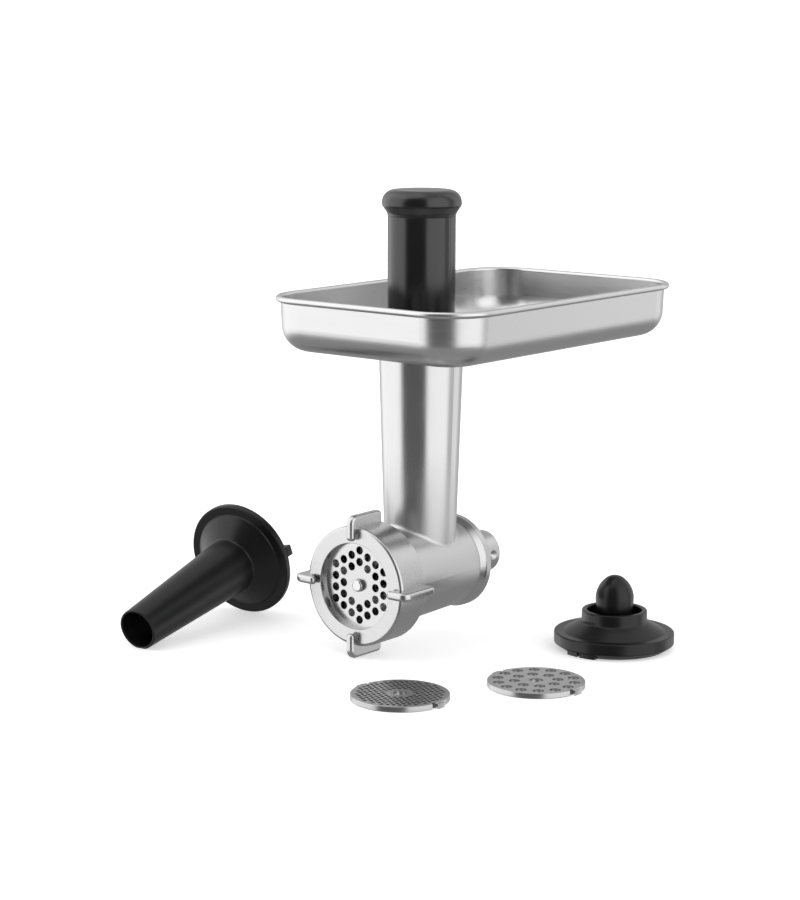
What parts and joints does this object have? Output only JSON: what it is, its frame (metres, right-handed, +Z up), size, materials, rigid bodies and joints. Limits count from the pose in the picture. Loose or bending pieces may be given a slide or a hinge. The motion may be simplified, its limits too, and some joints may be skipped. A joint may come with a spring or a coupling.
{
  "type": "meat grinder attachment",
  "caption": "Metal meat-grinder head for a stand mixer: feed tube with tray and pusher, worm, knife, plates, hooked screw ring, and loose sausage and kibbe pieces.",
  "frame": {"origin": "centre of the hub shoulder, where the spigot leaves the collar that seats on the mixer", "axes": "+Y back along the hub spigot into the mixer, -Y forward to the mouth, +Z up the feed tube"},
  "size_m": [0.3877, 0.3987, 0.3458],
  "materials": {
    "cast_metal": "satin cast",
    "polished_metal": "polished",
    "tray_steel": "satin",
    "steel": "ground",
    "bronze": "sintered",
    "rubber": "matt",
    "white_plastic": "matt",
    "black_plastic": "semi-matt"
  },
  "bodies": {
    "housing": {"grinder_barrel": "cast_metal", "feed_tube": "polished_metal", "hub_spigot": "cast_metal", "hub_index_pin": "steel", "shaft_bush": "bronze", "shaft_seal": "rubber", "thrust_washer": "white_plastic"},
    "worm": {"grind_worm": "cast_metal", "drive_shaft": "steel", "cross_pin": "steel", "worm_stud": "steel", "cutting_knife": "steel"},
    "fitted_plate": {"medium_plate": "steel"},
    "screw_ring": {"retaining_ring": "polished_metal"},
    "tray": {"food_tray": "tray_steel"},
    "pusher": {"food_pusher": "black_plastic", "pusher_cap": "black_plastic"},
    "loose_fine_plate": {"fine_plate": "steel"},
    "loose_coarse_plate": {"coarse_plate": "steel"},
    "stuffer": {"sausage_tube": "black_plastic"},
    "kibbe_inner": {"kibbe_cone": "black_plastic"},
    "kibbe_outer": {"kibbe_ring": "black_plastic"}
  },
  "joints": [
    {"name": "worm_spin", "type": "hinge", "parent": "housing", "child": "worm", "pos_m": [0, 0, 0], "axis": [0, 1, 0], "continuous": true},
    {"name": "plate_slide", "type": "slide", "parent": "housing", "child": "fitted_plate", "axis": [0, -1, 0], "range_m": [0, 0.018]},
    {"name": "ring_turn", "type": "hinge", "parent": "fitted_plate", "child": "screw_ring", "pos_m": [0, -0.105, 0], "axis": [0, -1, 0], "range_deg": [0, 1080]},
    {"name": "pusher_slide", "type": "slide", "parent": "housing", "child": "pusher", "axis": [0, 0, 1], "range_m": [0, 0.14]},
    {"name": "tray_lift", "type": "slide", "parent": "housing", "child": "tray", "axis": [0, 0, 1], "range_m": [0, 0.08]},
    {"name": "fine_plate_lift", "type": "slide", "parent": "housing", "child": "loose_fine_plate", "axis": [0, 0, 1], "range_m": [0, 0.1]},
    {"name": "coarse_plate_lift", "type": "slide", "parent": "housing", "child": "loose_coarse_plate", "axis": [0, 0, 1], "range_m": [0, 0.1]},
    {"name": "stuffer_lift", "type": "slide", "parent": "housing", "child": "stuffer", "axis": [0, 0, 1], "range_m": [0, 0.1]},
    {"name": "kibbe_lift", "type": "slide", "parent": "housing", "child": "kibbe_inner", "axis": [0, 0, 1], "range_m": [0, 0.08]},
    {"name": "kibbe_ring_lift", "type": "slide", "parent": "kibbe_inner", "child": "kibbe_outer", "axis": [0, 0, 1], "range_m": [0, 0.06]}
  ],
  "couplings": [
    {"joint": "plate_slide", "follows": "ring_turn", "m_per_rad": 0.00095493}
  ]
}
